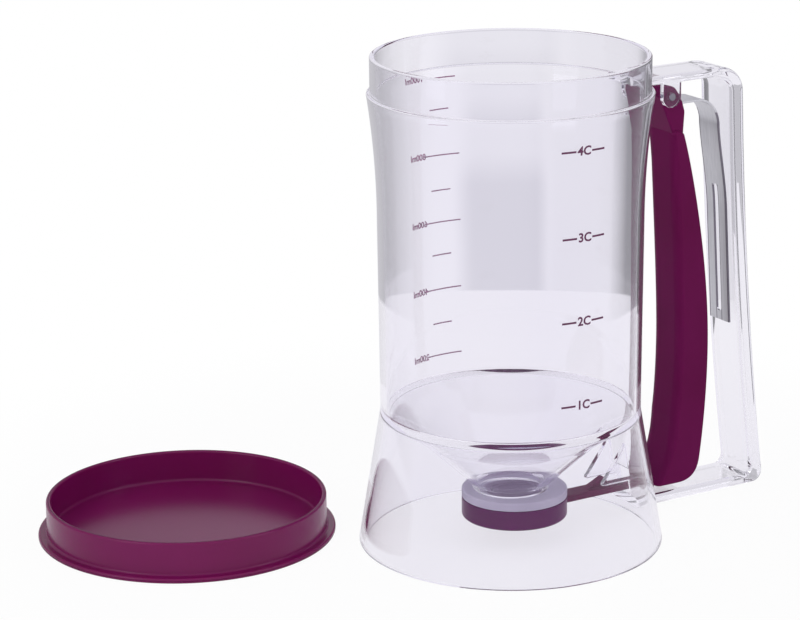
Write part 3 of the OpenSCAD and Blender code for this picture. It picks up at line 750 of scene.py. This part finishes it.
# %% Lid
LID_SKIRT, LID_BORE, LID_PLATE, LID_T, LID_H, LID_APART = 54.6, 52.75, 58.0, 2.0, 14.9, 9.7
lid_far, lid_turn = STAND_R + LID_PLATE + LID_APART, math.radians(144.4)
lid_profile = rounded(np.array([
    (0, 0, 0), (LID_PLATE, 0, 0.8), (LID_PLATE, LID_T, 0.8), (LID_SKIRT, LID_T, 0.9),
    (LID_SKIRT, LID_H, 0.8), (LID_BORE, LID_H, 0.8), (LID_BORE, LID_T, 1.2), (0, LID_T, 0)]))
lid_at = (lid_far * math.cos(lid_turn), lid_far * math.sin(lid_turn))
lid = lathe("press_lid", lid_profile, 224, lid_at)
finish_piece(lid, "lid", "lid", lid_plum)

# %% [markdown]
# ## Printed scales
# Cups are printed on the side of the barrel towards -Y and millilitres on the side towards +Y. Each mark
# is drawn flat, as dashes and figures, and rolled onto the barrel: its width becomes an angle and its
# height stays a height.
# The ink is a film a few hundredths of a millimetre thick, so it is a thin closed solid and not a picture.

# %% Ink
def ink(name, full, worn):
    """Printed film whose colour wanders between its full and its worn tone."""
    material, nodes, links, shader = new_material(name)
    wear = noise_on_object(nodes, links, 700, 3)
    colour = ramp(nodes, links, wear.outputs["Fac"], [(0.3, full), (0.75, worn)])
    links.new(colour, shader.inputs["Base Color"])
    shader.inputs["Roughness"].default_value = 0.5
    return material


cup_ink = ink("cup_ink", (0.085, 0.012, 0.055), (0.150, 0.034, 0.100))
millilitre_ink = ink("millilitre_ink", (0.25, 0.075, 0.16), (0.38, 0.15, 0.27))
print("inks ready")

# %% Mark helpers
FILM_GAP, FILM_T = 0.02, 0.06


def barrel_r(z):
    """Outer radius of the barrel at height z: nearly straight below FLARE_Z, then the flare."""
    z = np.asarray(z, float)
    low = WAIST_R + (BARREL_R - WAIST_R) * (z - WAIST_Z) / (FLARE_Z - WAIST_Z)
    high = BARREL_R + (SHOULDER_R - BARREL_R) * ((z - FLARE_Z) / (SHOULDER - FLARE_Z)) ** 2
    return np.where(z < FLARE_Z, low, high)


def flat_figures(text, height):
    """Points and faces of a word in the built-in type, its middle at the origin, with a film's thickness."""
    curve = bpy.data.curves.new("figures", "FONT")
    curve.body, curve.align_x, curve.align_y = text, "CENTER", "CENTER"
    curve.size, curve.offset = height * 1.38, height * 0.038
    curve.extrude, curve.resolution_u = 0.5, 3
    holder = bpy.data.objects.new("figures", curve)
    bpy.context.scene.collection.objects.link(holder)
    bpy.context.view_layer.update()
    mesh = bpy.data.meshes.new_from_object(holder.evaluated_get(bpy.context.evaluated_depsgraph_get()))
    points = np.zeros(len(mesh.vertices) * 3)
    mesh.vertices.foreach_get("co", points)
    faces = [list(face.vertices) for face in mesh.polygons]
    bpy.data.objects.remove(holder)
    return points.reshape(-1, 3), faces


def flat_dash(x0, x1, thick):
    """A dash from x0 to x1: a box in eight lengths, so that it can bend round the barrel."""
    x = np.linspace(x0, x1, 9)
    ring = np.array([(-thick / 2, -0.5), (thick / 2, -0.5), (thick / 2, 0.5), (-thick / 2, 0.5)])
    points = np.concatenate([np.c_[np.full(4, q), ring] for q in x])
    return points, grid_quads(9, 4, False) + [[0, 1, 2, 3], [32, 33, 34, 35]]


def printed(name, marks):
    """Rolls flat marks onto the barrel. marks holds rows (points, faces, angle, height): x over the
    radius is added to the angle, y to the height, and the film's own z becomes its depth."""
    all_points, all_faces, used = [], [], 0
    for points, faces, angle, height in marks:
        z = height + points[:, 1]
        a = math.radians(angle) + points[:, 0] / barrel_r(z)
        r = barrel_r(z) + FILM_GAP + FILM_T * (points[:, 2] + 0.5)
        all_points.append(np.c_[r * np.cos(a), r * np.sin(a), z])
        all_faces += [[q + used for q in face] for face in faces]
        used += len(points)
    return solid(name, np.concatenate(all_points), all_faces)


print("barrel radius at the 4 cup mark:", round(float(barrel_r(163.5)), 2), "mm")

# %% Cup scale
CUP_MARKS = ((67.1, -90.6), (99.2, -90.6), (130.8, -90.7), (163.5, -92.6))
CUP_LINE, CUP_FIGURE = 0.75, 3.4
cups = []
for count, (z, angle) in enumerate(CUP_MARKS, 1):
    cups.append((*flat_dash(-9.2, -3.4, CUP_LINE), angle, z))
    cups.append((*flat_dash(3.2, 8.8, CUP_LINE), angle, z))
    cups.append((*flat_figures(f"{count}C", CUP_FIGURE), angle, z))
finish_piece(printed("cup_scale", cups), "container", None, cup_ink)

# %% Millilitre scale
LONG_MARKS, SHORT_MARKS = (61.7, 88.6, 116.2, 144.2, 172.0), (74.7, 102.5, 129.6, 159.0)
LONG_AT, SHORT_AT, FIGURE_TURN = 90.2, 91.0, 14.0
MILLILITRE_LINE, MILLILITRE_FIGURE = 0.5, 2.6
millilitres = []
for count, z in enumerate(LONG_MARKS, 1):
    millilitres.append((*flat_dash(-8.3, 8.3, MILLILITRE_LINE), LONG_AT, z))
    millilitres.append((*flat_figures(f"{count * 200}ml", MILLILITRE_FIGURE), LONG_AT + FIGURE_TURN, z))
for z in SHORT_MARKS:
    millilitres.append((*flat_dash(-4.6, 4.6, MILLILITRE_LINE), SHORT_AT, z))
finish_piece(printed("millilitre_scale", millilitres), "container", None, millilitre_ink)

# %% [markdown]
# ## Studio
# A pale table and a white room. The table is matt and keeps the shadows. Part of it glows instead, most
# of all for the eye and away from the dispenser, so that it runs into the white of the room with no edge.

# %% Table
TABLE_R, TABLE_Z, TABLE_SIDES = 355, -0.15, 160
SEEN_THROUGH = 0.78
table_material, nodes, links, shader = new_material("pale_table")
shader.inputs["Roughness"].default_value = 0.9
grain = noise_on_object(nodes, links, 40, 2)
links.new(ramp(nodes, links, grain.outputs["Fac"], [(0.3, (0.86, 0.86, 0.88)), (0.7, (0.88, 0.88, 0.90))]),
          shader.inputs["Base Color"])
glow = nodes.new("ShaderNodeEmission")
seen = nodes.new("ShaderNodeLightPath")
mix = nodes.new("ShaderNodeMixShader")
glow_tones = [(0, (0.965, 0.955, 0.988)), (1, (1, 1, 1))]
links.new(ramp(nodes, links, seen.outputs["Is Camera Ray"], glow_tones), glow.inputs["Color"])
through = maths(nodes, links, "MAXIMUM", seen.outputs["Is Transmission Ray"], seen.outputs["Is Glossy Ray"])
through = maths(nodes, links, "MULTIPLY", through, SEEN_THROUGH)
eye = maths(nodes, links, "MAXIMUM", seen.outputs["Is Camera Ray"], through)
where = nodes.new("ShaderNodeTexCoord")
far = nodes.new("ShaderNodeVectorMath")
far.operation = "LENGTH"
links.new(where.outputs["Object"], far.inputs[0])
rim = nodes.new("ShaderNodeMapRange")
rim.interpolation_type = "SMOOTHSTEP"
for socket, value in zip(("From Min", "From Max", "To Min", "To Max"), (0.16, 0.30, 0.95, 1.0)):
    rim.inputs[socket].default_value = value
links.new(far.outputs["Value"], rim.inputs["Value"])
links.new(maths(nodes, links, "MULTIPLY", eye, rim.outputs[0]), mix.inputs["Fac"])
links.new(shader.outputs[0], mix.inputs[1])
links.new(glow.outputs[0], mix.inputs[2])
links.new(mix.outputs[0], nodes["Material Output"].inputs["Surface"])
a = np.linspace(0, 2 * np.pi, TABLE_SIDES, endpoint=False)
table_rim = np.c_[TABLE_R * np.cos(a), TABLE_R * np.sin(a), np.full(TABLE_SIDES, TABLE_Z)]
table = solid("table", table_rim, [list(range(TABLE_SIDES))])
table.data.materials.append(table_material)
print("table is", 2 * TABLE_R, "mm across")

# %% [markdown]
# The eye sees the room as plain white, while the plastic sees soft grey panels in it. They draw the edges
# of clear things, because a clear wall shows only what it bends or mirrors. Each panel is a run of greys
# over how far the looking direction goes across, up or away, and the runs are multiplied.

# %% Room
world = bpy.data.worlds.new("room")
bpy.context.scene.world = world
world.use_nodes = True
nodes, links = world.node_tree.nodes, world.node_tree.links
background, output = nodes["Background"], nodes["World Output"]
where = nodes.new("ShaderNodeTexCoord")


def along(direction):
    """How far the looking direction goes along a direction: their dot product."""
    node = nodes.new("ShaderNodeVectorMath")
    node.operation = "DOT_PRODUCT"
    node.inputs[1].default_value = direction
    links.new(where.outputs["Generated"], node.inputs[0])
    return node.outputs["Value"]


def shades(value, rows):
    """Grey over a value: rows (value, grey), drawn as straight runs between them."""
    low, high = rows[0][0], rows[-1][0]
    spread = nodes.new("ShaderNodeMapRange")
    for socket, number in zip(("From Min", "From Max"), (low, high)):
        spread.inputs[socket].default_value = number
    links.new(value, spread.inputs["Value"])
    stops = [((v - low) / (high - low), (grey,) * 3) for v, grey in rows]
    return ramp(nodes, links, spread.outputs[0], stops)


def times(first, second):
    """Two colours multiplied."""
    node = nodes.new("ShaderNodeVectorMath")
    node.operation = "MULTIPLY"
    links.new(first, node.inputs[0])
    links.new(second, node.inputs[1])
    return node.outputs[0]


yaw = camera.rotation_euler[2]
depth = along((-math.sin(yaw), math.cos(yaw), 0))
behind = maths(nodes, links, "MINIMUM", maths(nodes, links, "MAXIMUM", depth, 0.0), 0.5)
across = maths(nodes, links, "MULTIPLY", along((math.cos(yaw), math.sin(yaw), 0)), behind)
across = maths(nodes, links, "MULTIPLY", across, 2.0)
height = along((0, 0, 1))
sides = shades(across, [(-0.5, 0.60), (-0.14, 0.72), (-0.02, 1.0), (0.045, 1.0), (0.065, 0.93), (0.13, 0.92),
                        (0.19, 0.36), (0.5, 0.24)])
tint = ramp(nodes, links, height, [(0.0, (0.93, 0.92, 0.965)), (0.12, (0.91, 0.90, 0.95)),
                                   (0.45, (0.95, 0.94, 0.98)), (0.85, (0.80, 0.79, 0.84))])
panel_wide = shades(across, [(-0.5, 0.0), (-0.003, 0.0), (0.011, 1.0),
                             (0.052, 1.0), (0.058, 0.0), (0.5, 0.0)])
panel_tall = shades(height, [(-0.40, 1.0), (-0.222, 1.0), (-0.200, 0.35), (-0.1, 0.2), (0.2, 0.0)])
panel_tones = [(0.0, (1.0, 1.0, 1.0)), (1.0, (0.80, 0.80, 0.815))]
backdrop = ramp(nodes, links, times(panel_wide, panel_tall), panel_tones)
white = nodes.new("ShaderNodeBackground")
path = nodes.new("ShaderNodeLightPath")
choose = nodes.new("ShaderNodeMixShader")
white.inputs["Color"].default_value = (1, 1, 1, 1)
background.inputs["Strength"].default_value = 0.95
links.new(times(times(tint, sides), backdrop), background.inputs["Color"])
links.new(path.outputs["Is Camera Ray"], choose.inputs["Fac"])
links.new(background.outputs[0], choose.inputs[1])
links.new(white.outputs[0], choose.inputs[2])
links.new(choose.outputs[0], output.inputs["Surface"])
bpy.context.scene.view_settings.view_transform = "Standard"
print("room ready")

# %% [markdown]
# Two tall soft boxes put the long highlights on the plum pieces. Both face a point low on the hopper.

# %% Soft boxes
AIM, BOX_WIDE, BOX_TALL = (0, 0, 0.08), 0.5, 0.9


def soft_box(name, place, watts):
    """A rectangular area light at a place, turned so that it faces AIM: its turn is the angle of the line
    to AIM in plan less a right angle, and its tilt is a right angle plus that line's rise."""
    data = bpy.data.lights.new(name, "AREA")
    data.shape, data.energy = "RECTANGLE", watts
    data.size, data.size_y = BOX_WIDE, BOX_TALL
    light = bpy.data.objects.new(name, data)
    light.location = place
    direction = np.array(AIM) - np.array(place)
    turn = math.atan2(direction[1], direction[0]) - math.pi / 2
    tilt = math.pi / 2 + math.atan2(direction[2], math.hypot(direction[0], direction[1]))
    light.rotation_euler = (tilt, 0, turn)
    bpy.context.scene.collection.objects.link(light)
    print(name, "gives", watts, "W")


soft_box("left_box", (-1.1, -0.15, 0.55), 2.2)
soft_box("right_box", (0.75, -1.0, 0.6), 2.0)
